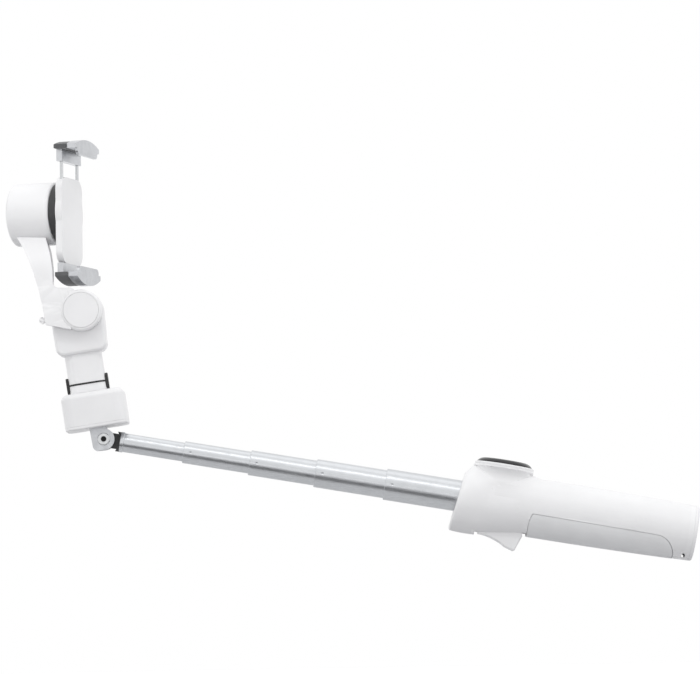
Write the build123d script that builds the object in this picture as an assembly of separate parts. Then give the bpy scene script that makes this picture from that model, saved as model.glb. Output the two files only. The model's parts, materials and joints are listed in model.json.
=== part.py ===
from build123d import *
import os
from math import cos, radians, sin, sqrt

# Hand-held phone gimbal on a telescopic stick, in millimetres.
# +Z is up. The origin is the centre of the handle's end face.
# The stick falls towards the hand, the phone clamp stands level.

# ---- pose of the modelled assembly, degrees
STICK_SLOPE = 10.0      # fall of the stick from the head to the hand
NECK_LEAN = 8.1         # lean of the pan axis away from the hand
SPLAY = -17.0           # turn of the roll axis from square to the tilt axis

# ---- stations along the stick, measured from the fold hinge
TUBE_MOUTHS = [9.5, 46.6, 85.3, 123.7, 164.5]    # front end of tube 1 to tube 5
COLLAR_FRONT = 208.0
POD_CENTRE = 231.0
GRIP_FRONT = 249.6
GRIP_END = 334.2
SHELL_END = 343.8
HANDLE_END = 346.0

# ---- telescopic tubes, innermost first
TUBE_RADII = [5.5, 6.4, 7.3, 8.2, 9.1]
TUBE_WALL = 0.5
TUBE_OVERLAP = 14.0     # length still inside the next tube when drawn out
TUBE_5_LENGTH = 59.0
LIP_LENGTH = 2.0        # rolled mouth and flared tail
SLIDE_GAP = 0.08        # radial running clearance
DIMPLE_RADIUS = 1.25

# ---- handle
HANDLE_RADIUS = 17.2
HANDLE_END_RADIUS = 16.0
CAVITY_RADIUS = 14.6
PAD_DEPTH = 1.0
PAD_GROOVE = 0.25
BUSH_RADIUS = 11.2
SLEEVE_INNER = 9.7
SLEEVE_OUTER = 10.9
BULKHEAD = 272.0
BATTERY_RADIUS = 9.2
BATTERY_TUBE_OUTER = 10.9
SCREW_STATIONS = [257, 291, 327]
SCREW_Z = -12.9
TRIPOD_THREAD_RADIUS = 2.6

# ---- control pod on top of the handle
POD_RADIUS = 17.15
POD_TOP = 20.4
DISC_RADIUS = 16.2
DISC_TOP = 24.7
WELL_RADIUS = 6.8
STICK_PIVOT_Z = 20.5
KEY_ORBIT = 11.4
RECORD_KEY_RADIUS = 2.5
MODE_KEY_RADIUS = 2.1
KEY_GAP = 0.3

# ---- trigger under the collar
TRIGGER_PIVOT = (223.5, -15.5)
TRIGGER_HALF_WIDTH = 7.2
TRIGGER_PIN_RADIUS = 1.0

# ---- fold hinge
EAR_RADIUS = 6.2
TONGUE_HALF = 2.0
EAR_INNER = 2.3
EAR_OUTER = 5.0
HINGE_PIN_RADIUS = 1.5

# ---- pan motor block, heights along the pan axis from the fold hinge
PAN_OFFSET = -4.5       # pan axis from the fold hinge, away from the hand
BLOCK_LEFT = -20.8
BLOCK_RIGHT = 15.8
BLOCK_HALF_DEPTH = 15.0
BLOCK_BOTTOM = 7.0
BLOCK_SEAM = 8.8
BLOCK_TOP = 28.0
GASKET_HEIGHT = 33.4
TILT_HEIGHT = 75.0
TILT_OFFSET = 3.4       # tilt axis from the pan axis, to the screen side

# ---- neck and yoke, from the tilt axis
NECK_HALF_WIDTH = 10.8
NECK_HALF_DEPTH = 6.4
YOKE_RADIUS = 12.4
YOKE_HALF_DEPTH = 9.0
YOKE_BOTTOM = -24.2
TILT_CAVITY_RADIUS = 10.6

# ---- arm and roll motor, from the tilt axis
HUB_RADIUS = 12.0
HUB_CAP_RADIUS = 10.2
HUB_OUTER = -16.4
HUB_INNER = -9.4
ROLL_HEIGHT = 58.0
ROLL_RADIUS = 18.3
ROLL_BACK = -39.0
ROLL_FRONT = -14.3

# ---- phone clamp, from the roll axis
PHONE_FACE = 2.5
PHONE_BACK = -5.5
HOOK_REAR = -1.4
PHONE_HALF_WIDTH = 35.85
JAW_HALF_LENGTH = 20.0
CLAMP_REAR = -9.8
JAW_ROD_RADIUS = 1.0
JAW_ROD_X = -7.2
JAW_ROD_Y = 12.5

# ---- derived pose
HINGE = (-HANDLE_END * cos(radians(STICK_SLOPE)), 0, HANDLE_END * sin(radians(STICK_SLOPE)))

# Frame of the stick and handle: X from the hinge to the hand, Z to the control pod.
STICK = Location(HINGE, (0, STICK_SLOPE, 0))
# Frame of the pan block: Z along the pan axis.
BLOCK = Location(HINGE, (0, -NECK_LEAN, 0))
# Frame of the neck: Z along the pan axis.
NECK = BLOCK * Location((PAN_OFFSET, 0, 0))
# Frame of the yoke: origin on the tilt axis, which is its Y.
YOKE = NECK * Location((TILT_OFFSET, 0, TILT_HEIGHT))
# Frame of the arm: on the tilt axis, with its Z straight up.
ARM = YOKE * Location((0, 0, 0), (0, NECK_LEAN, 0))
# Place of the roll axis in the arm's frame: X is the axis and lies level.
ROLL_PLACE = Location((0, 0, ROLL_HEIGHT), (0, 0, SPLAY))
# Frame of the clamp: origin on the roll axis, Z straight up.
CLAMP = ARM * ROLL_PLACE


# ---------------------------------------------------------------- helpers
def rod_x(radius, x0, x1, y=0, z=0):
    return Pos((x0 + x1) / 2, y, z) * Rot(0, 90, 0) * Cylinder(radius, x1 - x0)


def rod_y(radius, y0, y1, x=0, z=0):
    return Pos(x, (y0 + y1) / 2, z) * Rot(90, 0, 0) * Cylinder(radius, y1 - y0)


def rod_z(radius, z0, z1, x=0, y=0):
    return Pos(x, y, (z0 + z1) / 2) * Cylinder(radius, z1 - z0)


def ring_x(outer, inner, x0, x1):
    return rod_x(outer, x0, x1) - rod_x(inner, x0 - 1, x1 + 1)


def ring_y(outer, inner, y0, y1):
    return rod_y(outer, y0, y1) - rod_y(inner, y0 - 1, y1 + 1)


def ring_z(outer, inner, z0, z1):
    return rod_z(outer, z0, z1) - rod_z(inner, z0 - 1, z1 + 1)


def block(x0, x1, y0, y1, z0, z1):
    return Pos((x0 + x1) / 2, (y0 + y1) / 2, (z0 + z1) / 2) * Box(x1 - x0, y1 - y0, z1 - z0)


def side_plate(edges, y0, y1):
    """Closed outline in the XZ plane, made solid from y0 to y1."""
    face = Plane.XZ * make_face(edges)
    return Pos(0, y1, 0) * extrude(face, amount=y1 - y0)


def front_plate(edges, x0, x1):
    """Closed outline in the YZ plane, made solid from x0 to x1."""
    face = Plane.YZ.offset(x0) * make_face(edges)
    return extrude(face, amount=x1 - x0)


def turned(edges, axis):
    """Closed outline in the XZ plane, revolved about an axis."""
    return revolve(Plane.XZ * make_face(edges), axis=axis)


def dome_mid(radius, base, rise):
    """Middle point of the arc that runs from (radius, base) to (0, base + rise), level at the axis."""
    ball = (radius ** 2 + rise ** 2) / (2 * rise)
    return (radius / 2, base + rise - ball + sqrt(ball ** 2 - radius ** 2 / 4))


def section(x, centre_z, half_height, half_width, tip=0):
    """Ellipse across the handle, its plane tipped about Y by a few degrees."""
    plane = Plane(origin=(x, 0, centre_z), x_dir=(0, 1, 0), z_dir=(cos(radians(tip)), 0, -sin(radians(tip))))
    return plane * Ellipse(half_width, half_height)


# ---------------------------------------------------------------- handle
def handle_tube(offset=0.0):
    """The round grip, tapering towards its end, with the surface moved out by offset."""
    front = COLLAR_FRONT + 18
    radius = HANDLE_RADIUS + offset
    end_radius = HANDLE_END_RADIUS + offset
    edges = [
        Line((front, 0), (front, radius)),
        Line((front, radius), (275, radius)),
        ThreePointArc((275, radius), (315, radius - 0.45), (HANDLE_END, end_radius)),
        Line((HANDLE_END, end_radius), (HANDLE_END, 0)),
        Line((HANDLE_END, 0), (front, 0)),
    ]
    return turned(edges, Axis.X)


def collar():
    """Oval collar, deeper than the grip, with a slanted front face."""
    faces = [
        section(COLLAR_FRONT - 1.2, -3.2, 17.2, 16.2, 8),
        section(COLLAR_FRONT + 6, -1.3, 19.6, 17.0, 4),
        section(COLLAR_FRONT + 17, -0.9, 19.4, HANDLE_RADIUS),
        section(COLLAR_FRONT + 31, -0.4, 17.7, HANDLE_RADIUS),
        section(COLLAR_FRONT + 43, 0, HANDLE_RADIUS, HANDLE_RADIUS),
    ]
    body = loft(faces)
    front_edge = body.edges().sort_by(Axis.X)[0]
    return fillet(front_edge, 1.6)


def pod_stem():
    """Flared stem that carries the control disc."""
    edges = [
        Line((0, 2), (13.6, 2)),
        Line((13.6, 2), (14.0, 11)),
        ThreePointArc((14.0, 11), (14.9, 16.2), (POD_RADIUS, POD_TOP - 1.0)),
        Line((POD_RADIUS, POD_TOP - 1.0), (POD_RADIUS, POD_TOP)),
        Line((POD_RADIUS, POD_TOP), (0, POD_TOP)),
        Line((0, POD_TOP), (0, 2)),
    ]
    return Pos(POD_CENTRE, 0, 0) * turned(edges, Axis.Z)


def pad_outline(grow=0.0):
    """Side outline of the grip pad, wider than the grip so that it cuts right through."""
    top = -4.2 + grow
    front = GRIP_FRONT - grow
    end = GRIP_END + grow
    return [
        Line((front + 1.6, top), (324, top - 0.7)),
        ThreePointArc((324, top - 0.7), (331.4 + grow, top - 4.6), (end, -17.5)),
        Line((end, -17.5), (end, -22)),
        Line((end, -22), (front, -22)),
        Line((front, -22), (front, -13)),
        ThreePointArc((front, -13), (front + 0.3, -7.5), (front + 1.6, top)),
    ]


def pad_zone(grow, depth, proud):
    zone = side_plate(pad_outline(grow), -20, 20)
    return (handle_tube(proud) - handle_tube(-depth)) & zone


def handle_cavity():
    cavity = rod_x(9.5, COLLAR_FRONT - 8, COLLAR_FRONT + 2)
    cavity += rod_x(BUSH_RADIUS, COLLAR_FRONT + 1.5, COLLAR_FRONT + 13)
    cavity += rod_x(CAVITY_RADIUS, COLLAR_FRONT + 13, SHELL_END + 1)
    cavity += rod_z(12.6, 5, POD_TOP - 1.2, POD_CENTRE)
    cavity += rod_z(15.6, POD_TOP - 1.2, POD_TOP + 1, POD_CENTRE)
    for x in SCREW_STATIONS:
        cavity -= block(x - 3, x + 3, -15, 15, -20, -11.4)
    return cavity


def trigger_pocket():
    return block(219.6, 249.2, -7.5, 7.5, -32, -11.6)


def screw_hole(x):
    return rod_y(1.5, 4.2, 20, x, SCREW_Z) + rod_y(0.9, -6.0, 5, x, SCREW_Z)


def handle_screw(x):
    """Short screw that draws the two shells together, hidden under the grip pad."""
    head = rod_y(1.5, 4.2, 5.4, x, SCREW_Z)
    head -= block(x - 1.1, x + 1.1, 4.8, 6, SCREW_Z - 0.25, SCREW_Z + 0.25)
    return head + rod_y(0.9, -6.0, 4.5, x, SCREW_Z)


def usb_outline(y0, y1):
    body = block(281.5, 290.5, y0, y1, -1.6, 1.6)
    return fillet(body.edges().filter_by(Axis.Y), 1.5)


def lanyard_hole():
    return rod_y(1.1, -12, 12, 340.4, -13.9)


def handle_shells():
    body = handle_tube() + collar() + pod_stem()
    body -= handle_cavity()
    body -= trigger_pocket()
    body -= pad_zone(PAD_GROOVE, PAD_DEPTH, 3)
    body -= block(SHELL_END, HANDLE_END + 1, -20, 20, -20, 20)
    body -= rod_y(TRIGGER_PIN_RADIUS, -9.5, 9.5, *TRIGGER_PIVOT)
    body -= rod_y(3.3, 12, 20, 262, 0)
    body -= usb_outline(12, 20)
    for x in SCREW_STATIONS:
        body -= screw_hole(x)
    body -= lanyard_hole()
    left = body & block(190, 360, -40, 0, -40, 40)
    right = body & block(190, 360, 0, 40, -40, 40)
    return left, right


def grip_pad():
    return pad_zone(0, PAD_DEPTH, 0.12)


def stick_bush():
    return ring_x(BUSH_RADIUS, TUBE_RADII[4] + SLIDE_GAP, COLLAR_FRONT + 1.5, COLLAR_FRONT + 13)


def stick_sleeve():
    return ring_x(SLEEVE_OUTER, SLEEVE_INNER, COLLAR_FRONT + 13, BULKHEAD)


def battery_tube():
    tube = ring_x(BATTERY_TUBE_OUTER, BATTERY_RADIUS + 0.4, BULKHEAD + 2, 339.8)
    return tube + rod_x(CAVITY_RADIUS, BULKHEAD, BULKHEAD + 2)


def battery():
    return rod_x(BATTERY_RADIUS, BULKHEAD + 3.5, 338.5) + rod_x(3, BULKHEAD + 2, BULKHEAD + 3.5)


def end_cap():
    cap = handle_tube() & block(SHELL_END, HANDLE_END, -20, 20, -20, 20)
    cap = fillet(cap.edges().group_by(Axis.X)[-1], 1.3)
    cap += ring_x(CAVITY_RADIUS, 12, 341.7, SHELL_END)
    cap += rod_x(6, 340, SHELL_END)
    return cap - rod_x(4, 330, HANDLE_END + 1)


def thread_insert():
    insert = ring_x(4, TRIPOD_THREAD_RADIUS, 340, HANDLE_END - 0.2)
    mouth = Pos(HANDLE_END - 0.6, 0, 0) * Rot(0, 90, 0) * Cone(TRIPOD_THREAD_RADIUS, 3.2, 0.8)
    return insert - mouth


def main_board():
    """Controller board under the pod with its chips."""
    board = block(236, 262, -8, 8, 11.3, 12.3) & rod_x(CAVITY_RADIUS, 230, 270)
    chips = block(240, 246, -3, 3, 12.3, 13.3) + block(250, 255, -5, 1, 12.3, 13.1)
    return board + chips


def pod_bezel():
    edges = [
        Line((16.4, POD_TOP), (POD_RADIUS, POD_TOP)),
        Line((POD_RADIUS, POD_TOP), (POD_RADIUS, POD_TOP + 0.8)),
        ThreePointArc((POD_RADIUS, POD_TOP + 0.8), (17.0, POD_TOP + 1.2), (16.7, POD_TOP + 1.4)),
        Line((16.7, POD_TOP + 1.4), (16.4, POD_TOP + 1.4)),
        Line((16.4, POD_TOP + 1.4), (16.4, POD_TOP)),
    ]
    return Pos(POD_CENTRE, 0, 0) * turned(edges, Axis.Z)


def disc_dome():
    """The domed black touch disc before its keys are cut out."""
    edges = [
        Line((0, POD_TOP), (DISC_RADIUS, POD_TOP)),
        Line((DISC_RADIUS, POD_TOP), (DISC_RADIUS, 21.8)),
        ThreePointArc((DISC_RADIUS, 21.8), (14.4, 23.6), (10.5, 24.35)),
        ThreePointArc((10.5, 24.35), dome_mid(10.5, 24.35, DISC_TOP - 24.35), (0, DISC_TOP)),
        Line((0, DISC_TOP), (0, POD_TOP)),
    ]
    return Pos(POD_CENTRE, 0, 0) * turned(edges, Axis.Z)


def control_disc():
    disc = disc_dome() - rod_z(WELL_RADIUS, 10, 30, POD_CENTRE)
    disc -= rod_z(RECORD_KEY_RADIUS + KEY_GAP, 10, 30, POD_CENTRE + KEY_ORBIT)
    disc -= rod_z(MODE_KEY_RADIUS + KEY_GAP, 10, 30, POD_CENTRE - KEY_ORBIT)
    return disc


def disc_key(radius, x):
    """Key that is flush with the dome around it."""
    return disc_dome() & rod_z(radius, 10, 30, x)


def joystick_base():
    base = ring_z(WELL_RADIUS - 0.2, 4.9, 16.4, 21.2) + rod_z(WELL_RADIUS - 0.2, 15.4, 16.4)
    base += ring_z(8.4, 4.9, POD_TOP - 1, POD_TOP)
    base -= rod_x(0.66, -8, 8, 0, STICK_PIVOT_Z)
    base -= rod_z(2.3, 15, 17)
    return Pos(POD_CENTRE, 0, 0) * base


def joystick_ring():
    ring = ring_z(4.5, 3.3, STICK_PIVOT_Z - 0.9, STICK_PIVOT_Z + 0.9)
    ring += rod_x(0.6, -6.2, -4.0, 0, STICK_PIVOT_Z) + rod_x(0.6, 4.0, 6.2, 0, STICK_PIVOT_Z)
    ring -= rod_y(0.66, -6, 6, 0, STICK_PIVOT_Z)
    return Pos(POD_CENTRE, 0, 0) * ring


def joystick_cap():
    edges = [
        Line((0, 22.7), (5.3, 22.7)),
        ThreePointArc((5.3, 22.7), (5.6, 23.4), (5.2, 24.1)),
        ThreePointArc((5.2, 24.1), dome_mid(5.2, 24.1, 0.85), (0, 24.95)),
        Line((0, 24.95), (0, 22.7)),
    ]
    cap = turned(edges, Axis.Z) + rod_z(1.8, 18.6, 23)
    cap += rod_y(0.6, -4.4, 4.4, 0, STICK_PIVOT_Z)
    return Pos(POD_CENTRE, 0, 0) * cap


def power_button():
    button = rod_y(3.0, 13.4, 17.5, 262, 0)
    return fillet(button.edges().sort_by(Axis.Y)[-1], 0.5)


def usb_socket():
    slot = block(282.1, 289.9, 13, 18, -1.1, 1.1)
    return usb_outline(12.2, 16.4) - slot + block(283, 289, 12.6, 16.0, -0.35, 0.35)


def trigger():
    px, pz = TRIGGER_PIVOT
    edges = [
        Line((px - 2.6, pz - 2.2), (px - 1.6, -19.9)),
        ThreePointArc((px - 1.6, -19.9), (231.0, -21.6), (238.0, -25.0)),
        Line((238.0, -25.0), (242.4, -26.3)),
        ThreePointArc((242.4, -26.3), (243.8, -26.3), (244.4, -25.2)),
        Line((244.4, -25.2), (247.3, -17.4)),
        Line((247.3, -17.4), (246.4, -14.8)),
        Line((246.4, -14.8), (px + 1.0, pz + 2.4)),
        ThreePointArc((px + 1.0, pz + 2.4), (px - 2.3, pz + 1.3), (px - 2.6, pz - 2.2)),
    ]
    body = side_plate(edges, -TRIGGER_HALF_WIDTH, TRIGGER_HALF_WIDTH)
    body = fillet(body.edges().filter_by_position(Axis.Z, -26.5, -20.0).filter_by(
        lambda e: abs(e.center().Y) > TRIGGER_HALF_WIDTH - 0.1), 1.0)
    body -= rod_y(TRIGGER_PIN_RADIUS + 0.06, -10, 10, px, pz)
    body -= block(px - 4, px + 3.4, -1.9, 1.9, pz - 3, pz + 4)
    return body


def trigger_pin():
    return rod_y(TRIGGER_PIN_RADIUS, -9.5, 9.5, *TRIGGER_PIVOT)


def trigger_spring():
    px, pz = TRIGGER_PIVOT
    coil = rod_y(2.1, -1.5, 1.5, px, pz) - rod_y(TRIGGER_PIN_RADIUS, -3, 3, px, pz)
    for y in (-0.75, 0, 0.75):
        groove = rod_y(2.4, y - 0.08, y + 0.08, px, pz) - rod_y(1.8, y - 1, y + 1, px, pz)
        coil -= groove
    return coil


def trigger_switch():
    return block(234, 238, 4.2, 7.0, -12.5, -10.4) + block(235.2, 236.8, 5.0, 6.2, -12.8, -12.5)


# ---------------------------------------------------------------- stick
def tube_length(index):
    if index == 4:
        return TUBE_5_LENGTH
    return TUBE_MOUTHS[index + 1] - TUBE_MOUTHS[index] + TUBE_OVERLAP


def tube(index):
    """One drawn tube: a rolled-in mouth at the front and a flared tail at the back."""
    radius = TUBE_RADII[index]
    bore = radius - TUBE_WALL
    front = TUBE_MOUTHS[index]
    back = front + tube_length(index)
    outer_bore = SLEEVE_INNER if index == 4 else TUBE_RADII[index + 1] - TUBE_WALL
    body = rod_x(radius, front, back)
    body += rod_x(outer_bore - SLIDE_GAP, back - LIP_LENGTH, back)
    body = fillet(body.edges().sort_by(Axis.X)[0], 0.3)
    if index == 0:
        body += rod_x(radius + 0.4, front, front + 2)
        body -= rod_x(bore, front - 1, back + 1)
        return body
    mouth = TUBE_RADII[index - 1] + SLIDE_GAP
    body -= rod_x(bore, front + LIP_LENGTH, back + 1)
    body -= rod_x(mouth, front - 1, front + LIP_LENGTH + 0.1)
    dimple = Pos(front + 4.2, -radius - 0.95, 0) * Sphere(DIMPLE_RADIUS)
    return body - dimple


def tip_tongue():
    body = rod_y(5.6, -TONGUE_HALF, TONGUE_HALF)
    body += block(0, 10, -TONGUE_HALF, TONGUE_HALF, -4.4, 4.4)
    body += block(9, 15, -TONGUE_HALF, TONGUE_HALF, -3.4, 3.4)
    return body - rod_y(HINGE_PIN_RADIUS + 0.06, -5, 5)


def tip_plug():
    """Plug that closes the thinnest tube and is hollowed round the hinge ears."""
    body = rod_x(5.75, 4, TUBE_MOUTHS[0]) + rod_x(4.98, TUBE_MOUTHS[0], 16)
    body -= rod_y(9.2, -8, 8)
    return body - tip_tongue() - rod_y(HINGE_PIN_RADIUS + 0.1, -8, 8)


# ---------------------------------------------------------------- fold hinge
def hinge_ear(y0, y1):
    """Ear with a square heel on the outer side and a round front about the pin."""
    edges = [
        Line((-7.2, 6.0), (-6.9, -3.6)),
        ThreePointArc((-6.9, -3.6), (-6.1, -5.3), (-4.3, -6.0)),
        Line((-4.3, -6.0), (0, -EAR_RADIUS)),
        ThreePointArc((0, -EAR_RADIUS), (EAR_RADIUS, 0), (2.6, sqrt(EAR_RADIUS ** 2 - 2.6 ** 2))),
        Line((2.6, sqrt(EAR_RADIUS ** 2 - 2.6 ** 2)), (2.6, 6.0)),
        Line((2.6, 6.0), (-7.2, 6.0)),
    ]
    return side_plate(edges, y0, y1)


def hinge_clevis():
    body = hinge_ear(-EAR_OUTER, -EAR_INNER) + hinge_ear(EAR_INNER, EAR_OUTER)
    body += block(-7.2, 2.6, -EAR_OUTER, EAR_OUTER, 6.0, BLOCK_BOTTOM)
    return body - rod_y(HINGE_PIN_RADIUS, -8, 8)


def hinge_pin():
    """Screw through both ears, with a hexagon socket in its head."""
    head = fillet(rod_y(3.6, -6.5, -EAR_OUTER).edges().sort_by(Axis.Y)[0], 0.5)
    nut = fillet(rod_y(3.2, EAR_OUTER, 6.3).edges().sort_by(Axis.Y)[-1], 0.4)
    socket = Pos(0, -5.8, 0) * Rot(90, 0, 0) * extrude(RegularPolygon(1.7, 6), amount=2)
    return head + nut + rod_y(HINGE_PIN_RADIUS, -EAR_OUTER, EAR_OUTER) - socket


def hinge_washers():
    near = ring_y(4.6, HINGE_PIN_RADIUS + 0.05, -EAR_INNER, -TONGUE_HALF - 0.05)
    far = ring_y(4.6, HINGE_PIN_RADIUS + 0.05, TONGUE_HALF + 0.05, EAR_INNER)
    return Compound([near.solids()[0], far.solids()[0]])


# ---------------------------------------------------------------- pan block
def block_body():
    centre = (BLOCK_LEFT + BLOCK_RIGHT) / 2
    width = BLOCK_RIGHT - BLOCK_LEFT
    face = Pos(centre, 0, BLOCK_BOTTOM) * RectangleRounded(width, 2 * BLOCK_HALF_DEPTH, 6.5)
    body = extrude(face, amount=BLOCK_TOP - BLOCK_BOTTOM)
    body = fillet(body.edges().group_by(Axis.Z)[-1], 3.4)
    return fillet(body.edges().group_by(Axis.Z)[0], 0.9)


def pan_housing():
    body = block_body() & block(-40, 40, -40, 40, BLOCK_SEAM, 40)
    motor = rod_z(13.2, BLOCK_SEAM - 1, BLOCK_TOP - 3, PAN_OFFSET)
    shaft = rod_z(6.6, 0, 40, PAN_OFFSET)
    return body - motor - shaft


def pan_base_plate():
    body = block_body() & block(-40, 40, -40, 40, 0, BLOCK_SEAM)
    spigot = ring_z(13.0, 11.8, BLOCK_SEAM, BLOCK_SEAM + 1.2)
    return body + Pos(PAN_OFFSET, 0, 0) * spigot


def motor_stator(outer, inner, z0, z1, slots=12):
    """Wound core: a ring with winding slots round its edge."""
    body = ring_z(outer, inner, z0, z1)
    for k in range(slots):
        slot = Pos(outer - 0.9, 0, (z0 + z1) / 2) * Box(3.0, 0.7, z1 - z0 + 1)
        body -= Rot(0, 0, 360 / slots * k) * slot
    return body


def motor_bearing(outer, bore, z0, z1):
    body = ring_z(outer, bore, z0, z1)
    for z in (z0, z1):
        body -= ring_z(outer - 0.45, bore + 0.45, z - 0.15, z + 0.15)
    return body


def motor_rotor(bell_outer, bell_inner, z0, z1, shaft, shaft_end, spigot, spigot_end):
    """Bell with its magnets, a centre shaft and an output spigot."""
    body = ring_z(bell_outer, bell_inner, z0, z1)
    body += rod_z(bell_outer, z1, z1 + 1.6)
    body += rod_z(shaft, shaft_end, z1 + 1)
    return body + rod_z(spigot, z1 + 1.6, spigot_end)


def pan_stator():
    return motor_stator(9.4, 4.2, BLOCK_SEAM, 19.6)


def pan_bearing():
    return motor_bearing(4.2, 2.56, 12, 15)


def pan_rotor():
    return motor_rotor(12.4, 9.9, 10.8, 21.6, 2.5, 10.2, 6.2, GASKET_HEIGHT - 2)


# ---------------------------------------------------------------- neck and yoke
def yoke_body():
    """Housing of the tilt motor: round about the tilt axis, with a shoulder behind it."""
    left = -TILT_OFFSET - 15.0
    edges = [
        ThreePointArc((-9.0, 8.53), (1.5, 12.3), (YOKE_RADIUS, 0)),
        Line((YOKE_RADIUS, 0), (11.4, YOKE_BOTTOM + 5)),
        ThreePointArc((11.4, YOKE_BOTTOM + 5), (10.1, YOKE_BOTTOM + 1.4), (6.8, YOKE_BOTTOM)),
        Line((6.8, YOKE_BOTTOM), (left + 4.8, YOKE_BOTTOM)),
        ThreePointArc(
            (left + 4.8, YOKE_BOTTOM), (left + 1.5, YOKE_BOTTOM + 1.4), (left + 0.2, YOKE_BOTTOM + 5)
        ),
        Line((left + 0.2, YOKE_BOTTOM + 5), (left, -9)),
        Spline((left, -9), (-15.5, 0.5), (-9.0, 8.53), tangents=((0, 1), (0.72, 0.69))),
    ]
    yoke = side_plate(edges, -YOKE_HALF_DEPTH, YOKE_HALF_DEPTH)
    return fillet(yoke.edges().filter_by(lambda e: abs(e.center().Y) > YOKE_HALF_DEPTH - 0.1), 2.0)


def neck_shells():
    """Neck that swells into the yoke round the tilt motor, split down the middle."""
    foot = BLOCK_TOP + 0.4 - TILT_HEIGHT
    stem_face = Pos(-TILT_OFFSET, 0, foot) * RectangleRounded(2 * NECK_HALF_WIDTH, 2 * NECK_HALF_DEPTH, 5.2)
    body = extrude(stem_face, amount=YOKE_BOTTOM + 6 - foot) + yoke_body()
    body -= rod_y(TILT_CAVITY_RADIUS, -YOKE_HALF_DEPTH + 1.6, YOKE_HALF_DEPTH - 1.6)
    body -= rod_y(6.6, -YOKE_HALF_DEPTH - 1, 0)
    body -= rod_z(6.2, foot - 1, GASKET_HEIGHT - 2 - TILT_HEIGHT, -TILT_OFFSET)
    body -= rod_z(3.2, foot - 1, -9, -TILT_OFFSET)
    body -= gasket_band(0)
    near = body & block(-30, 30, -30, 0, -60, 30)
    far = body & block(-30, 30, 0, 30, -60, 30)
    return near, far


def gasket_band(proud):
    """Thin band round the neck with an upright bar on each flank."""
    z = GASKET_HEIGHT - TILT_HEIGHT
    outer = RectangleRounded(2 * (NECK_HALF_WIDTH + proud), 2 * (NECK_HALF_DEPTH + proud), 5.2 + proud)
    inner = RectangleRounded(2 * NECK_HALF_WIDTH - 1.6, 2 * NECK_HALF_DEPTH - 1.6, 4.4)
    band = extrude(Pos(0, 0, z - 0.5) * (outer - inner), amount=1.0)
    for side in (-1, 1):
        bar = Pos(side * (NECK_HALF_WIDTH + 0.4), 0, z) * Box(2.0, 6.4, 9.2)
        band += fillet(bar.edges().filter_by(Axis.X), 2.0)
    return Pos(-TILT_OFFSET, 0, 0) * band


def neck_gasket():
    return gasket_band(0.25)


def tilt_stator():
    return Rot(90, 0, 0) * motor_stator(7.8, 4.2, -YOKE_HALF_DEPTH + 1.6, 4.2)


def tilt_bearing():
    return Rot(90, 0, 0) * motor_bearing(4.2, 2.56, -3, 0)


def tilt_rotor():
    return Rot(90, 0, 0) * motor_rotor(10.2, 8.3, -6.0, 5.2, 2.5, -4.5, 6.2, -HUB_INNER + 2)


# ---------------------------------------------------------------- arm and roll motor
def arm_link():
    """Limb that rises from the hub, turns behind the clamp and joins the roll motor."""
    side = [
        Line((-3.0, -4.0), (-3.0, 11.2)),
        ThreePointArc((-3.0, 11.2), (-4.6, 12.6), (-7.5, 13.1)),
        Line((-7.5, 13.1), (-13.0, 13.2)),
        ThreePointArc((-13.0, 13.2), (-15.1, 14.2), (-16.0, 16.5)),
        Spline((-16.0, 16.5), (-16.8, 28.0), (-20.5, 43.0)),
        Line((-20.5, 43.0), (-37.5, 44.0)),
        Spline((-37.5, 44.0), (-32.0, 34.0), (-27.2, 22.1), (-22.8, 5.6), (-20.4, -8.0)),
        Line((-20.4, -8.0), (-6.0, -11.0)),
        Line((-6.0, -11.0), (-3.0, -4.0)),
    ]
    front = [
        Line((-15.9, -12.0), (-15.9, 16.0)),
        Spline((-15.9, 16.0), (-14.8, 29.0), (-9.5, 46.0)),
        Line((-9.5, 46.0), (13.0, 46.0)),
        Spline((13.0, 46.0), (9.5, 38.0), (0.6, 26.0), (HUB_INNER, 14.2)),
        Line((HUB_INNER, 14.2), (HUB_INNER, -12.0)),
        Line((HUB_INNER, -12.0), (-15.9, -12.0)),
    ]
    return side_plate(side, -18, 16) & front_plate(front, -42, 0)


def arm_body():
    hub = rod_y(HUB_RADIUS, HUB_OUTER, HUB_INNER)
    hub = fillet(hub.edges().sort_by(Axis.Y)[0], 1.6)
    drum = rod_x(ROLL_RADIUS, ROLL_BACK, ROLL_FRONT)
    drum = fillet(drum.edges().group_by(Axis.X)[-1], 1.6)
    lug = rod_y(1.9, -14.8, -11.2, -22.2, -5.6)
    return hub + arm_link() + ROLL_PLACE * drum + lug


def arm_shell():
    body = arm_body()
    body -= ROLL_PLACE * rod_x(15.4, ROLL_BACK + 1.6, ROLL_FRONT + 1)
    body -= ROLL_PLACE * rod_x(16.4, ROLL_BACK - 1, ROLL_BACK + 1.6)
    body -= rod_y(6.2, HUB_INNER - 2, HUB_INNER + 1)
    return body - rod_y(HUB_CAP_RADIUS + 0.1, HUB_OUTER - 1, HUB_OUTER + 1.0)


def arm_hub_cap():
    cap = rod_y(HUB_CAP_RADIUS, HUB_OUTER - 0.15, HUB_OUTER + 1.0)
    return fillet(cap.edges().sort_by(Axis.Y)[0], 0.3)


def roll_cover():
    """Domed back cover with a spigot inside the drum."""
    rim = 16.2
    crown = dome_mid(rim, 1.6, 1.2)
    edges = [
        Line((0, 0), (ROLL_RADIUS, 0)),
        ThreePointArc((ROLL_RADIUS, 0), (17.6, 1.0), (rim, 1.6)),
        ThreePointArc((rim, 1.6), crown, (0, 2.8)),
        Line((0, 2.8), (0, 0)),
    ]
    cover = turned(edges, Axis.Z) + ring_z(16.3, 14.6, -1.6, 0)
    return ROLL_PLACE * Pos(ROLL_BACK, 0, 0) * Rot(0, -90, 0) * cover


def roll_axis(shape):
    """Turn a shape made along Z so that its Z runs along the roll axis, towards the phone."""
    return Rot(0, 90, 0) * shape


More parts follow.
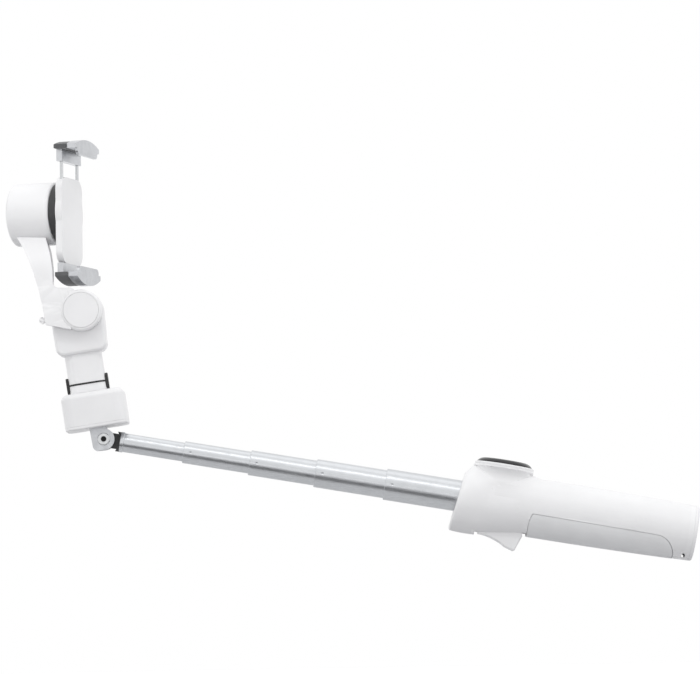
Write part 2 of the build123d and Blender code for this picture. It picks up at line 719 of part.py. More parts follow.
def roll_stator():
    """Core and the disc that fixes it to the back of the drum."""
    core = motor_stator(10.6, 4.4, -35.5, -22.0)
    foot = ring_z(14.5, 4.4, ROLL_BACK, -37.4) + ring_z(6, 4.4, -37.5, -35.4)
    return ROLL_PLACE * roll_axis(core + foot)


def roll_bearing():
    return ROLL_PLACE * roll_axis(motor_bearing(4.4, 2.56, -30, -27))


# ---------------------------------------------------------------- phone clamp, in the clamp frame
def roll_rotor():
    return roll_axis(motor_rotor(14.4, 11.1, -36.6, -17.0, 2.5, -34, 8.0, ROLL_FRONT + 0.3))


def magnet_plate():
    plate = rod_x(17.4, ROLL_FRONT + 0.3, CLAMP_REAR - 0.3)
    return fillet(plate.edges(), 0.4)


def clamp_base():
    """Back plate with a round seat for the magnet ring and bores for the jaw rods."""
    face = Pos(0, -5.0) * RectangleRounded(33, 50, 7)
    plate = Plane.YZ.offset(CLAMP_REAR) * face
    body = extrude(plate, amount=PHONE_BACK - 0.2 - CLAMP_REAR)
    body += rod_x(17.6, CLAMP_REAR, PHONE_BACK - 0.2)
    body = fillet(body.edges().group_by(Axis.X)[0], 0.5)
    body -= ring_x(16.1, 9.9, CLAMP_REAR, CLAMP_REAR + 1.0)
    body -= rod_x(3.6, CLAMP_REAR - 1, CLAMP_REAR + 3.3)
    for y in (-JAW_ROD_Y, JAW_ROD_Y):
        body -= rod_z(JAW_ROD_RADIUS + 0.06, -12, 30, JAW_ROD_X, y)
    return body


def magnet_ring():
    return ring_x(16.1, 9.9, CLAMP_REAR, CLAMP_REAR + 1.0)


def jaw_rod(side):
    return rod_z(JAW_ROD_RADIUS, -3.0, 36.0, JAW_ROD_X, side * JAW_ROD_Y)


def clamp_rods():
    return Compound([jaw_rod(side).solids()[0] for side in (-1, 1)])


def jaw_profile(half_length, edge, crown):
    """Half-moon seen from the screen side: flat to the phone, bowed away from it."""
    return [
        Line((-half_length, PHONE_HALF_WIDTH), (half_length, PHONE_HALF_WIDTH)),
        Line((half_length, PHONE_HALF_WIDTH), (half_length, edge)),
        ThreePointArc((half_length, edge), (0, crown), (-half_length, edge)),
        Line((-half_length, edge), (-half_length, PHONE_HALF_WIDTH)),
    ]


def moon(half_length, edge, crown, x0, x1):
    return front_plate(jaw_profile(half_length, edge, crown), x0, x1)


def jaw(edge, crown, foot):
    """Hooked metal jaw above the phone: crown, front lip and rear stem."""
    hook = moon(JAW_HALF_LENGTH - 1, edge, crown, HOOK_REAR, PHONE_FACE + 0.2)
    lip_top = moon(JAW_HALF_LENGTH - 1, edge, crown, PHONE_FACE + 0.2, PHONE_FACE + 1.8)
    lip = block(PHONE_FACE + 0.2, PHONE_FACE + 1.8, -16, 16, PHONE_HALF_WIDTH - 3.6, PHONE_HALF_WIDTH + 0.5)
    lip = fillet(lip.edges().filter_by(Axis.X).group_by(Axis.Z)[0], 3.0)
    body = hook + lip_top + lip
    stem = block(CLAMP_REAR + 0.6, PHONE_BACK - 0.2, -15.5, 15.5, foot, PHONE_HALF_WIDTH + 1.2)
    bridge = block(CLAMP_REAR + 0.6, HOOK_REAR, -15.5, 15.5, PHONE_HALF_WIDTH + 1.0, PHONE_HALF_WIDTH + 2.0)
    return body + stem + bridge


def jaw_pad(edge, crown):
    """Soft block behind the hook, wrapped over the bridge of the jaw."""
    return moon(JAW_HALF_LENGTH, edge, crown, CLAMP_REAR + 0.6, HOOK_REAR)


def upper_jaw():
    return jaw(PHONE_HALF_WIDTH + 2.6, PHONE_HALF_WIDTH + 6.0, 29.0) - jaw_rod(-1) - jaw_rod(1)


def upper_pad():
    return jaw_pad(PHONE_HALF_WIDTH + 2.4, PHONE_HALF_WIDTH + 5.6) - upper_jaw() - jaw_rod(-1) - jaw_rod(1)


def lower_jaw():
    upright = jaw(PHONE_HALF_WIDTH + 2.6, PHONE_HALF_WIDTH + 7.0, 30.0)
    return Rot(180, 0, 0) * upright


def lower_pad():
    upright = jaw_pad(PHONE_HALF_WIDTH + 2.4, PHONE_HALF_WIDTH + 6.6)
    return Rot(180, 0, 0) * upright - lower_jaw()


def clamp_spring():
    """Coiled strip spring that draws the jaws together, in the back plate."""
    return ring_x(3.4, 2.4, CLAMP_REAR + 0.8, CLAMP_REAR + 3.2)


# ---------------------------------------------------------------- assembly
def make_nodes():
    nodes = {}
    left, right = handle_shells()
    in_stick = {
        "handle_shell_left": left,
        "handle_shell_right": right,
        "grip_pad": grip_pad(),
        "stick_bush": stick_bush(),
        "stick_sleeve": stick_sleeve(),
        "battery_tube": battery_tube(),
        "battery": battery(),
        "end_cap": end_cap(),
        "thread_insert": thread_insert(),
        "main_board": main_board(),
        "pod_bezel": pod_bezel(),
        "control_disc": control_disc(),
        "record_button": disc_key(RECORD_KEY_RADIUS, POD_CENTRE + KEY_ORBIT),
        "mode_button": disc_key(MODE_KEY_RADIUS, POD_CENTRE - KEY_ORBIT),
        "joystick_base": joystick_base(),
        "joystick_ring": joystick_ring(),
        "joystick_cap": joystick_cap(),
        "power_button": power_button(),
        "usb_socket": usb_socket(),
        "trigger": trigger(),
        "trigger_pin": trigger_pin(),
        "trigger_spring": trigger_spring(),
        "trigger_switch": trigger_switch(),
        "handle_screws": Compound([handle_screw(x).solids()[0] for x in SCREW_STATIONS]),
        "tip_tongue": tip_tongue(),
        "tip_plug": tip_plug(),
    }
    for index in range(5):
        in_stick["tube_%d" % (index + 1)] = tube(index)
    for name, shape in in_stick.items():
        nodes[name] = STICK * shape

    in_block = {
        "hinge_clevis": hinge_clevis(),
        "hinge_pin": hinge_pin(),
        "hinge_washers": hinge_washers(),
        "pan_housing": pan_housing(),
        "pan_base_plate": pan_base_plate(),
        "pan_stator": Pos(PAN_OFFSET, 0, 0) * pan_stator(),
        "pan_bearing": Pos(PAN_OFFSET, 0, 0) * pan_bearing(),
    }
    for name, shape in in_block.items():
        nodes[name] = BLOCK * shape

    near, far = neck_shells()
    nodes["pan_rotor"] = NECK * pan_rotor()
    in_yoke = {
        "neck_shell_near": near,
        "neck_shell_far": far,
        "neck_gasket": neck_gasket(),
        "tilt_stator": tilt_stator(),
        "tilt_bearing": tilt_bearing(),
    }
    for name, shape in in_yoke.items():
        nodes[name] = YOKE * shape

    in_arm = {
        "tilt_rotor": tilt_rotor(),
        "arm_shell": arm_shell(),
        "arm_hub_cap": arm_hub_cap(),
        "roll_cover": roll_cover(),
        "roll_stator": roll_stator(),
        "roll_bearing": roll_bearing(),
    }
    for name, shape in in_arm.items():
        nodes[name] = ARM * shape

    in_clamp = {
        "roll_rotor": roll_rotor(),
        "magnet_plate": magnet_plate(),
        "clamp_base": clamp_base(),
        "magnet_ring": magnet_ring(),
        "clamp_spring": clamp_spring(),
        "clamp_rods": clamp_rods(),
        "lower_jaw": lower_jaw(),
        "lower_pad": lower_pad(),
        "upper_jaw": upper_jaw(),
        "upper_pad": upper_pad(),
    }
    for name, shape in in_clamp.items():
        nodes[name] = CLAMP * shape
    return nodes


def main():
    os.makedirs("parts", exist_ok=True)
    for name, shape in make_nodes().items():
        export_step(shape, "parts/%s.step" % name)


if __name__ == "__main__":
    main()
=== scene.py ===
"""Looks of the phone gimbal on its telescopic stick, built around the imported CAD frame. Metres, +Z up."""
import json
import math

import bmesh
import bpy
from mathutils import Matrix, Vector


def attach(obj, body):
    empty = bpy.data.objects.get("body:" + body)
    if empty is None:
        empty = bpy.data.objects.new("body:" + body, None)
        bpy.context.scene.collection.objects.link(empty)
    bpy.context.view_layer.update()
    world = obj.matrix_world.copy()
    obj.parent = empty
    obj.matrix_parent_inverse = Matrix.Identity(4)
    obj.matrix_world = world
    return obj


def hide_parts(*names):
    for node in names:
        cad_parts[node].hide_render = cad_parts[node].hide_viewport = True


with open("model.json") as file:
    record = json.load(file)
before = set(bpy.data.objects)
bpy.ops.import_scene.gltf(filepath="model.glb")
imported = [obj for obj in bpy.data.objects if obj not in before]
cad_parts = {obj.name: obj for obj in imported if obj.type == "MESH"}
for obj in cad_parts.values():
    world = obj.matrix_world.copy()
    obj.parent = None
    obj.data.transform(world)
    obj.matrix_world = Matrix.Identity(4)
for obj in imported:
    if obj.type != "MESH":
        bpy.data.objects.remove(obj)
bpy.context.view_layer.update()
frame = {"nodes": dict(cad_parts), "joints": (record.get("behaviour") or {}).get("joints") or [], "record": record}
NODES = frame["nodes"]
JOINTS = {joint["name"]: joint for joint in frame["joints"]}
BODY_OF = {node: body for body, nodes in frame["record"]["behaviour"]["bodies"].items() for node in nodes}
SLOT_OF = {part["node"]: part["material_slot"] for part in frame["record"]["subparts"]}
MM = 0.001
WELD_MM = 0.002         # vertices nearer than this are one
SLIVER_MM = 0.001       # edges shorter than this are dropped
BEVEL_ANGLE = 38        # only edges sharper than this are rounded
BEVEL_SEGMENTS = 3
MIX_A, MIX_B, MIX_OUT = 6, 7, 2     # the colour sockets of a mix node
WEAR_RAMP = (0.52, 0.62)            # pointiness at which wear begins and is complete

# ---- the stick's frame: along the tubes towards the grip, and up towards the pod
STICK_X = Vector(JOINTS["tube_5_slide"]["axis"]).normalized()
STICK_UP = STICK_X.cross(Vector((0, 1, 0))).normalized()
HINGE = Vector(JOINTS["head_fold"]["pos_m"])
SOCKET_MM = 1.7         # radius of the hinge screw's socket, and of the painted shade in it
SOCKET_SHADE_BORDER = (-0.25, 0.05)   # the painted shade's edge fades from this far inside to this far outside
GRAIN_SQUEEZE = 0.02    # share to which the drawn grain's coordinates shrink along the tubes

# ---- soft blend between the grip and the control pod, millimetres from the fold hinge
# Each section of the grip: place along the stick, height of its middle, half height, half width
GRIP_SECTIONS = [
    (206.8, -3.2, 17.2, 16.2),
    (214, -1.3, 19.6, 17.0),
    (225, -0.9, 19.4, 17.2),
    (239, -0.4, 17.7, 17.2),
    (251, 0, 17.2, 17.2),
]
POD_ALONG = 231.0       # the pod's axis, along the stick
POD_RIM = 19.4          # height of the rim around the control disc
STEM_TOP = 11.0         # height at which the stem begins to flare
STEM_RADIUS = 14.0
STEM_FLARE = 3.15       # added to its radius at the rim
FLARE_POWER = 2.4       # a higher power keeps the stem straight for longer
BLEND_MM = 8.0          # the blend ends where the distances to the two forms differ by this
BLEND_FROM = 3.0        # height at which the blend begins
BLEND_REACH = 28.0      # how far along the stick it may go from the pod's axis
BLEND_EDGE = 1.6        # edges longer than this are split there
BLEND_ROUNDS = 5        # how often its edges may be halved
FADE_LOW = 7.0          # height over which the blend grows at its lower border
FADE_HIGH = 3.0         # height over which it dies out at the rim
FADE_END = 1.0          # how far above the rim it has died out
SURFACE_BAND = 0.5      # vertices further than this from the two forms together stay where they are
PROBE_MM = 0.05         # step for measuring the slope of the form

# ---- limb between the tilt hub and the roll drum, millimetres from the tilt axis
TILT = Vector(JOINTS["tilt"]["pos_m"])
ROLL = Vector(JOINTS["roll"]["pos_m"])
ROLL_X = Vector(JOINTS["roll"]["axis"]).normalized()
LIMB_EDGE = 2.0         # edges longer than this are split there
LIMB_ROUNDS = 4         # how often its edges may be halved
LIMB_FROM = 22.0        # height at which the lean begins
LIMB_TO = 48.0          # height above which nothing moves
LIMB_TOP = 44.0         # height at which the lean reaches the amounts below; it grows on above it
LIMB_FRONT = -15.0      # only what lies behind this leans
LIMB_LEAN = 2.0         # lean at LIMB_FRONT
LIMB_SPLAY = 0.25       # lean added for each millimetre further back
DRUM_RADIUS = 18.5      # the drum within this radius stays round

# ---- camera and studio
AIM = Vector((-0.1977, 0, 0.1096))
CAMERA_DISTANCE = 2.4
CAMERA_ELEVATION = -4.0
CAMERA_ROLL = -0.95
LENS = 213
SENSOR = 36
FLOOR_Z = -0.16
FLOOR_REACH = 12
FLOOR_GLOW = 0.3
SHEET_X = (-1.3, 0.9)
CARD_Y = (-0.9, 0.9)
CARD_LIFT = 0.004       # the sheets lie just above the floor, one above the other
STRIP_Y = (-0.6, -0.17)
STRIP_LIFT = 0.008
LIT_POINT = (-0.2, 0, 0.1)
# Each lamp: name, place, size, power
LAMPS = [
    ("key", (-1.0, -1.2, 1.5), (1.2, 1.0), 1.6),
    ("top", (-0.1, 0.3, 1.6), (1.6, 0.9), 1.8),
    ("strip", (-0.2, -0.9, 1.1), (1.8, 0.14), 2.2),
    ("side", (1.4, -0.5, 0.6), (0.7, 0.9), 1),
]


# ---------------------------------------------------------------- materials
class Paint:
    """A node material with short helpers for its procedural detail."""

    def __init__(self, name, roughness, metallic=0.0, **sockets):
        self.mat = bpy.data.materials.new(name)
        self.mat.use_nodes = True
        self.tree = self.mat.node_tree
        self.shader = self.tree.nodes["Principled BSDF"]
        self.shader.inputs["Roughness"].default_value = roughness
        self.shader.inputs["Metallic"].default_value = metallic
        for socket, value in sockets.items():
            self.shader.inputs[socket.replace("_", " ")].default_value = value
        self.place = self.node("ShaderNodeTexCoord").outputs["Object"]
        self.normal = None

    def node(self, kind, **settings):
        made = self.tree.nodes.new(kind)
        for key, value in settings.items():
            setattr(made, key, value)
        return made

    def link(self, source, target):
        self.tree.links.new(source, target)

    def stretched(self, axis_x, shrink):
        """Coordinates that are stretched along one direction, for brushed grain."""
        mapping = self.node("ShaderNodeMapping", vector_type="POINT")
        turn = axis_x.to_track_quat("X", "Z").inverted().to_euler()
        mapping.inputs["Rotation"].default_value = turn
        squeeze = self.node("ShaderNodeMapping", vector_type="POINT")
        squeeze.inputs["Scale"].default_value = (shrink, 1, 1)
        self.link(self.place, mapping.inputs["Vector"])
        self.link(mapping.outputs["Vector"], squeeze.inputs["Vector"])
        return squeeze.outputs["Vector"]

    def noise(self, size_mm, detail=2.0, roughness=0.5, coords=None):
        made = self.node("ShaderNodeTexNoise")
        made.inputs["Scale"].default_value = 1000.0 / size_mm
        made.inputs["Detail"].default_value = detail
        made.inputs["Roughness"].default_value = roughness
        self.link(coords or self.place, made.inputs["Vector"])
        return made.outputs["Fac"]

    def cells(self, size_mm):
        made = self.node("ShaderNodeTexVoronoi", feature="F1")
        made.inputs["Scale"].default_value = 1000.0 / size_mm
        self.link(self.place, made.inputs["Vector"])
        return made.outputs["Distance"]

    def spread(self, factor, low, high, start=0.3, end=0.7):
        made = self.node("ShaderNodeMapRange")
        made.inputs["From Min"].default_value = start
        made.inputs["From Max"].default_value = end
        made.inputs["To Min"].default_value = low
        made.inputs["To Max"].default_value = high
        self.link(factor, made.inputs["Value"])
        return made.outputs["Result"]

    def colours(self, factor, first, second, start=0.35, end=0.65):
        ramp = self.node("ShaderNodeValToRGB")
        ramp.color_ramp.elements[0].position = start
        ramp.color_ramp.elements[1].position = end
        ramp.color_ramp.elements[0].color = (*first, 1)
        ramp.color_ramp.elements[1].color = (*second, 1)
        self.link(factor, ramp.inputs["Fac"])
        return ramp.outputs["Color"]

    def worn(self, colour, wear, amount):
        """Mixes a worn colour in along raised edges."""
        ramp = self.node("ShaderNodeValToRGB")
        ramp.color_ramp.elements[0].position, ramp.color_ramp.elements[1].position = WEAR_RAMP
        ramp.color_ramp.elements[1].color = (amount, amount, amount, 1)
        self.link(self.node("ShaderNodeNewGeometry").outputs["Pointiness"], ramp.inputs["Fac"])
        mix = self.node("ShaderNodeMix", data_type="RGBA")
        self.link(ramp.outputs["Color"], mix.inputs["Factor"])
        self.link(colour, mix.inputs[MIX_A])
        mix.inputs[MIX_B].default_value = (*wear, 1)
        return mix.outputs[MIX_OUT]

    def bump(self, height, depth_mm):
        made = self.node("ShaderNodeBump")
        made.inputs["Distance"].default_value = depth_mm * MM
        made.inputs["Strength"].default_value = 1.0
        self.link(height, made.inputs["Height"])
        if self.normal:
            self.link(self.normal, made.inputs["Normal"])
        self.normal = made.outputs["Normal"]
        self.link(self.normal, self.shader.inputs["Normal"])

    def base(self, colour):
        self.link(colour, self.shader.inputs["Base Color"])

    def rough(self, value):
        self.link(value, self.shader.inputs["Roughness"])


def moulded(name, low, high, roughness, grain_mm=0.35, depth_mm=0.006, coat=0.0):
    """Moulded plastic: fine grain, slight mottling, edges a little lighter from handling."""
    paint = Paint(name, roughness, Coat_Weight=coat, Coat_Roughness=0.25)
    mottling = paint.noise(22, 3)
    paint.base(paint.worn(paint.colours(mottling, low, high), [min(1, c * 1.03) for c in high], 0.4))
    paint.rough(paint.spread(paint.noise(9, 4), roughness - 0.05, roughness + 0.05))
    paint.bump(paint.noise(grain_mm, 3, 0.6), depth_mm)
    return paint.mat


def soft_touch(name, low, high, roughness, cell_mm, depth_mm):
    """Silicone or rubber: dull and pebbled, with a faint sheen and clouded colour."""
    paint = Paint(name, roughness, Sheen_Weight=0.15, Sheen_Roughness=0.5)
    pebbles = paint.cells(cell_mm)
    paint.base(paint.colours(paint.noise(14, 4), low, high))
    paint.rough(paint.spread(paint.noise(5, 3), roughness - 0.06, roughness + 0.06))
    paint.bump(pebbles, depth_mm)
    paint.bump(paint.noise(cell_mm * 0.5, 2), depth_mm * 0.5)
    return paint.mat


def metal(name, low, high, roughness, grain_axis=None, grain_mm=0.12, depth_mm=0.002):
    """Metal with drawn or blasted grain, light scuffs and brighter worn edges."""
    paint = Paint(name, roughness, 1.0)
    coords = paint.stretched(grain_axis, GRAIN_SQUEEZE) if grain_axis else None
    grain = paint.noise(grain_mm, 3, 0.6, coords)
    scuffs = paint.noise(6, 5, 0.65)
    paint.base(paint.worn(paint.colours(scuffs, low, high), [min(1, c * 1.1) for c in high], 0.5))
    paint.rough(paint.spread(grain, roughness - 0.06, roughness + 0.08))
    paint.bump(grain, depth_mm)
    return paint.mat


def screw_steel(name, low, high, roughness, centre, socket_mm):
    """Turned steel around an axis along Y, with painted shade (near black) in the socket of a screw."""
    paint = Paint(name, roughness, 1.0)
    from_centre = paint.node("ShaderNodeVectorMath", operation="SUBTRACT")
    paint.link(paint.place, from_centre.inputs[0])
    from_centre.inputs[1].default_value = centre
    flat = paint.node("ShaderNodeVectorMath", operation="MULTIPLY")
    paint.link(from_centre.outputs["Vector"], flat.inputs[0])
    flat.inputs[1].default_value = (1, 0, 1)
    length = paint.node("ShaderNodeVectorMath", operation="LENGTH")
    paint.link(flat.outputs["Vector"], length.inputs[0])
    inner, outer = [(socket_mm + border) * MM for border in SOCKET_SHADE_BORDER]
    mask = paint.spread(length.outputs["Value"], 0.0, 1.0, inner, outer)
    mix = paint.node("ShaderNodeMix", data_type="RGBA")
    paint.link(mask, mix.inputs["Factor"])
    # painted shade in the socket: near black within the socket's radius, the steel's own colour outside
    mix.inputs[MIX_A].default_value = (0.02, 0.02, 0.02, 1)
    paint.link(paint.colours(paint.noise(3, 4), low, high), mix.inputs[MIX_B])
    paint.base(mix.outputs[MIX_OUT])
    paint.bump(paint.noise(0.3, 2), 0.002)
    return paint.mat


def gloss(name, low, high, roughness):
    """Glossy moulded face with faint waviness, smudges and a thin clear coat."""
    paint = Paint(name, roughness, Coat_Weight=0.1, Coat_Roughness=0.05, Specular_IOR_Level=0.3)
    paint.base(paint.colours(paint.noise(12, 3), low, high))
    paint.rough(paint.spread(paint.noise(3, 5), roughness - 0.03, roughness + 0.06))
    paint.bump(paint.noise(4, 1), 0.003)
    return paint.mat


def make_materials():
    return {
        "white_shell": moulded("white shell", (0.80, 0.80, 0.81), (0.83, 0.83, 0.84), 0.42, coat=0.1),
        "soft_pad": soft_touch("grip silicone", (0.76, 0.765, 0.775), (0.80, 0.805, 0.815), 0.7, 0.55, 0.02),
        "alu": metal("drawn tube", (0.60, 0.615, 0.635), (0.64, 0.655, 0.675), 0.31, STICK_X, 0.12, 0.0008),
        "silver": metal("blasted silver", (0.50, 0.51, 0.53), (0.58, 0.59, 0.61), 0.32),
        "steel": metal("turned steel", (0.50, 0.51, 0.52), (0.60, 0.61, 0.62), 0.28),
        "dark_plastic": moulded("dark plastic", (0.030, 0.031, 0.033), (0.042, 0.043, 0.045), 0.48),
        "black_gloss": gloss("black gloss", (0.008, 0.008, 0.009), (0.014, 0.014, 0.016), 0.22),
        "black_rubber": soft_touch(
            "black rubber", (0.014, 0.014, 0.014), (0.024, 0.024, 0.024), 0.62, 0.4, 0.012
        ),
        "grey_rubber": soft_touch(
            "jaw rubber", (0.075, 0.077, 0.08), (0.10, 0.102, 0.105), 0.58, 0.45, 0.015
        ),
        "magnet": metal("nickel plating", (0.60, 0.59, 0.57), (0.68, 0.67, 0.65), 0.18),
        "copper": metal("enamelled copper", (0.50, 0.20, 0.08), (0.62, 0.27, 0.12), 0.35),
        "board": moulded("solder mask", (0.015, 0.09, 0.04), (0.02, 0.12, 0.055), 0.35),
        "cell": gloss("cell sleeve", (0.05, 0.12, 0.25), (0.06, 0.14, 0.30), 0.3),
        "brass": metal("brass", (0.62, 0.46, 0.20), (0.72, 0.54, 0.26), 0.25),
        "red_key": gloss("record key", (0.30, 0.012, 0.012), (0.38, 0.018, 0.016), 0.2),
    }


# ---------------------------------------------------------------- pieces
def refined(name, width_mm, materials):
    """Stands for a CAD node: its shape with rounded edges, apart from the pod's blend and the limb's lean."""
    mesh = NODES[name].data.copy()
    mesh.name = name + "_skin"
    skin = bmesh.new()
    skin.from_mesh(mesh)
    bmesh.ops.remove_doubles(skin, verts=skin.verts, dist=WELD_MM * MM)
    bmesh.ops.dissolve_degenerate(skin, edges=skin.edges, dist=SLIVER_MM * MM)
    if name.startswith("handle_shell"):
        blend_pod(skin)
    if name == "arm_shell":
        set_limb(skin)
    for face in skin.faces:
        face.smooth = True
    skin.to_mesh(mesh)
    skin.free()
    piece = bpy.data.objects.new(name + "_skin", mesh)
    bpy.context.scene.collection.objects.link(piece)
    edge = piece.modifiers.new("edge", "BEVEL")
    edge.width = width_mm * MM
    edge.segments = BEVEL_SEGMENTS
    edge.limit_method = "ANGLE"
    edge.angle_limit = math.radians(BEVEL_ANGLE)
    edge.use_clamp_overlap = True
    normals = piece.modifiers.new("normals", "WEIGHTED_NORMAL")
    normals.keep_sharp = True
    finish_piece(piece, name, materials)


def finish_piece(piece, name, materials):
    slot = SLOT_OF[name]
    piece.data.materials.clear()
    piece.data.materials.append(materials[slot])
    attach(piece, BODY_OF[name])
    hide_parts(name)


def refine(skin, inside, edge_mm, rounds):
    """Splits the long edges that touch a zone, so that its surface can be moved smoothly."""
    for _ in range(rounds):
        long_edges = [
            edge for edge in skin.edges if edge.calc_length() > edge_mm * MM and any(map(inside, edge.verts))
        ]
        if not long_edges:
            break
        bmesh.ops.subdivide_edges(skin, edges=long_edges, cuts=1)
        bmesh.ops.triangulate(skin, faces=[face for face in skin.faces if len(face.verts) > 3])


def stick_place(point):
    """Position in the stick's frame, in millimetres: along the tubes, across, and towards the pod."""
    away = (point - HINGE) / MM
    return away.dot(STICK_X), away.y, away.dot(STICK_UP)


def grip_depth(along, across, up):
    """Distance outside the oval grip, whose section is interpolated between its stations."""
    for (x0, mid0, high0, wide0), (x1, mid1, high1, wide1) in zip(GRIP_SECTIONS, GRIP_SECTIONS[1:]):
        if along <= x1 or x1 == GRIP_SECTIONS[-1][0]:
            step = min(1.0, max(0.0, (along - x0) / (x1 - x0)))
            break
    mid = mid0 + (mid1 - mid0) * step
    high = high0 + (high1 - high0) * step
    wide = wide0 + (wide1 - wide0) * step
    return math.hypot(across, (up - mid) * wide / high) - wide


def pod_depth(along, across, up):
    """Distance outside the flared stem that carries the control disc."""
    flare = max(0.0, (up - STEM_TOP) / (POD_RIM - STEM_TOP))
    return math.hypot(along - POD_ALONG, across) - STEM_RADIUS - STEM_FLARE * flare ** FLARE_POWER


def blend_depth(point):
    """Distance outside the two forms together, and how far a soft blend stands out of them there."""
    place = stick_place(point)
    grip, pod = grip_depth(*place), pod_depth(*place)
    near = max(0.0, 1 - abs(grip - pod) / BLEND_MM)
    below_rim = min(1.0, max(0.0, (POD_RIM + FADE_END - place[2]) / FADE_HIGH))
    above_foot = min(1.0, max(0.0, (place[2] - BLEND_FROM) / FADE_LOW))
    fade = below_rim * above_foot
    return min(grip, pod), near * near * BLEND_MM / 4 * fade


def blend_pod(skin):
    """Fills the crease between the grip and the pod with a soft blend, as moulded."""
    def inside(vert):
        along, across, up = stick_place(vert.co)
        return up > BLEND_FROM and abs(along - POD_ALONG) < BLEND_REACH

    refine(skin, inside, BLEND_EDGE, BLEND_ROUNDS)
    moves = []
    for vert in skin.verts:
        if not inside(vert):
            continue
        depth, rise = blend_depth(vert.co)
        if abs(depth) > SURFACE_BAND or rise <= 0:
            continue
        slope = Vector()
        for axis in range(3):
            offset = Vector()
            offset[axis] = PROBE_MM * MM
            ahead, behind = blend_depth(vert.co + offset), blend_depth(vert.co - offset)
            slope[axis] = (ahead[0] - ahead[1]) - (behind[0] - behind[1])
        if slope.length > 0:
            moves.append((vert, slope.normalized() * rise * MM))
    for vert, move in moves:
        vert.co += move


def set_limb(skin):
    """Leans the top of the limb over so that it runs into the splayed drum without a step."""
    def inside(vert):
        away = (vert.co - TILT) / MM
        return LIMB_FROM < away.z < LIMB_TO and away.x < LIMB_FRONT

    refine(skin, inside, LIMB_EDGE, LIMB_ROUNDS)
    for vert in skin.verts:
        away = (vert.co - TILT) / MM
        if not inside(vert):
            continue
        from_axis = vert.co - ROLL
        radius = (from_axis - ROLL_X * from_axis.dot(ROLL_X)).length / MM
        if radius > DRUM_RADIUS:
            step = (away.z - LIMB_FROM) / (LIMB_TOP - LIMB_FROM)
            vert.co.y += step * step * (LIMB_LEAN + LIMB_SPLAY * (LIMB_FRONT - away.x)) * MM


# Width of the rounding on the edges of each refined skin
EDGE_MM = {
    "handle_shell_left": 0.3, "handle_shell_right": 0.3, "grip_pad": 0.3, "end_cap": 0.25, "trigger": 0.3,
    "control_disc": 0.2, "pod_bezel": 0.12, "power_button": 0.2, "hinge_clevis": 0.35, "hinge_pin": 0.15,
    "tip_tongue": 0.3, "tip_plug": 0.2, "pan_housing": 0.3, "pan_base_plate": 0.3, "neck_shell_near": 0.3,
    "neck_shell_far": 0.3, "neck_gasket": 0.15, "arm_shell": 1.2, "arm_hub_cap": 0.2, "roll_cover": 0.2,
    "clamp_base": 0.4, "magnet_plate": 0.2, "upper_jaw": 0.35, "upper_pad": 0.35, "lower_jaw": 0.35,
    "lower_pad": 0.35, "tube_1": 0.15, "tube_2": 0.15, "tube_3": 0.15, "tube_4": 0.15, "tube_5": 0.15,
}


def dress_nodes(materials):
    """Every CAD node gets its procedural finish; those in EDGE_MM also get a refined skin."""
    for name, node in NODES.items():
        node.data.materials.clear()
        node.data.materials.append(materials[SLOT_OF[name]])
        for face in node.data.polygons:
            face.use_smooth = True
    for name, width in EDGE_MM.items():
        refined(name, width, materials)
    pin = bpy.data.objects["hinge_pin_skin"]
    pin.data.materials.clear()
    # the hinge screw's steel, with painted shade in its socket
    screw = screw_steel("hinge screw", (0.60, 0.61, 0.62), (0.68, 0.69, 0.70), 0.3, HINGE, SOCKET_MM)
    pin.data.materials.append(screw)


# ---------------------------------------------------------------- studio
def add_camera():
    data = bpy.data.cameras.new("camera")
    data.lens = LENS
    data.sensor_width = SENSOR
    camera = bpy.data.objects.new("camera", data)
    bpy.context.scene.collection.objects.link(camera)
    rise = math.radians(CAMERA_ELEVATION)
    back = Vector((0, -math.cos(rise), math.sin(rise)))
    camera.location = AIM + back * CAMERA_DISTANCE
    facing = (-back).to_track_quat("-Z", "Y")
    camera.rotation_mode = "QUATERNION"
    camera.rotation_quaternion = facing @ Matrix.Rotation(math.radians(CAMERA_ROLL), 3, "Z").to_quaternion()
    data.clip_start = 0.05
    data.clip_end = 100
    bpy.context.scene.camera = camera


def area_light(name, place, size, power):
    data = bpy.data.lights.new(name, "AREA")
    data.shape = "RECTANGLE"
    data.size, data.size_y = size
    data.energy = power
    lamp = bpy.data.objects.new(name, data)
    bpy.context.scene.collection.objects.link(lamp)
    lamp.location = place
    lamp.rotation_mode = "QUATERNION"
    lamp.rotation_quaternion = (Vector(LIT_POINT) - Vector(place)).to_track_quat("-Z", "Y")


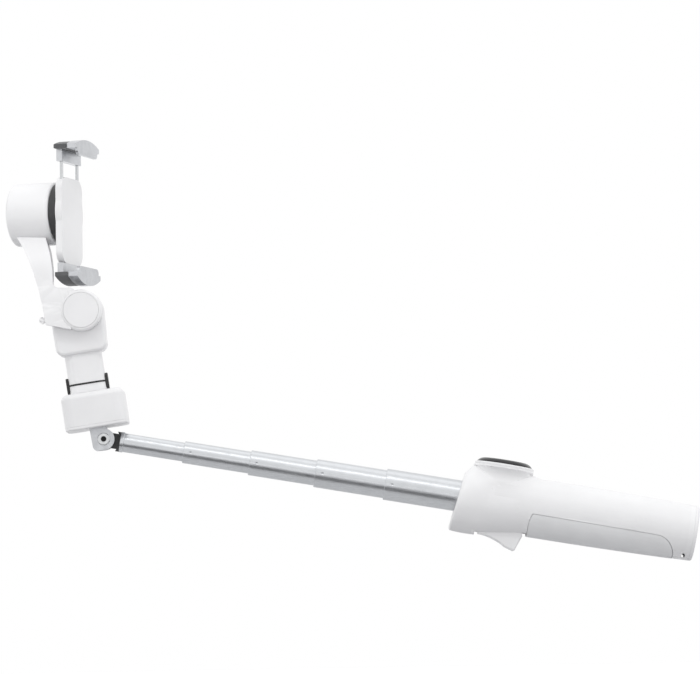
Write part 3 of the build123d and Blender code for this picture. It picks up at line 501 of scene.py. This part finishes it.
def flat_sheet(name, x_range, y_range, height, paint):
    """A level rectangle that belongs to the studio."""
    (x0, x1), (y0, y1) = x_range, y_range
    corners = [(x0, y0), (x1, y0), (x1, y1), (x0, y1)]
    mesh = bpy.data.meshes.new(name)
    mesh.from_pydata([(x, y, height) for x, y in corners], [], [(0, 1, 2, 3)])
    sheet = bpy.data.objects.new(name, mesh)
    bpy.context.scene.collection.objects.link(sheet)
    mesh.materials.append(paint.mat)
    return sheet


def sheet_paint(name, roughness, cloud_mm, detail, low, high, **sockets):
    """A matt, faintly clouded paint."""
    paint = Paint(name, roughness, **sockets)
    paint.base(paint.colours(paint.noise(cloud_mm, detail), low, high))
    return paint


def add_floor():
    low, high = (0.97, 0.97, 0.97), (0.98, 0.98, 0.98)
    paint = sheet_paint("floor", 0.7, 400, 3, low, high, Emission_Strength=FLOOR_GLOW)
    reach = (-FLOOR_REACH, FLOOR_REACH)
    floor = flat_sheet("floor", reach, reach, FLOOR_Z, paint)


def add_dark_card():
    """A grey sheet under the object that dims the light from below. Camera and reflections miss it."""
    paint = sheet_paint("dark card", 0.9, 60, 2, (0.42, 0.42, 0.43), (0.45, 0.45, 0.46))
    card = flat_sheet("dark_card", SHEET_X, CARD_Y, FLOOR_Z + CARD_LIFT, paint)
    card.visible_camera = False
    card.visible_glossy = False
    card.visible_shadow = False


def add_reflected_strip():
    """A dark strip that only shiny surfaces see, for the dark band along the lower half of the tubes."""
    paint = sheet_paint("reflected strip", 0.9, 60, 2, (0.07, 0.07, 0.075), (0.09, 0.09, 0.095))
    strip = flat_sheet("reflected_strip", SHEET_X, STRIP_Y, FLOOR_Z + STRIP_LIFT, paint)
    strip.visible_camera = False
    strip.visible_diffuse = False
    strip.visible_shadow = False


def add_studio():
    world = bpy.data.worlds.new("studio")
    world.use_nodes = True
    background = world.node_tree.nodes["Background"]
    background.inputs["Color"].default_value = (1, 1, 1, 1)
    background.inputs["Strength"].default_value = 1.0
    bpy.context.scene.world = world
    bpy.context.scene.view_settings.view_transform = "Standard"
    for lamp in LAMPS:
        area_light(*lamp)


add_camera()
add_floor()
add_dark_card()
add_reflected_strip()
add_studio()
dress_nodes(make_materials())
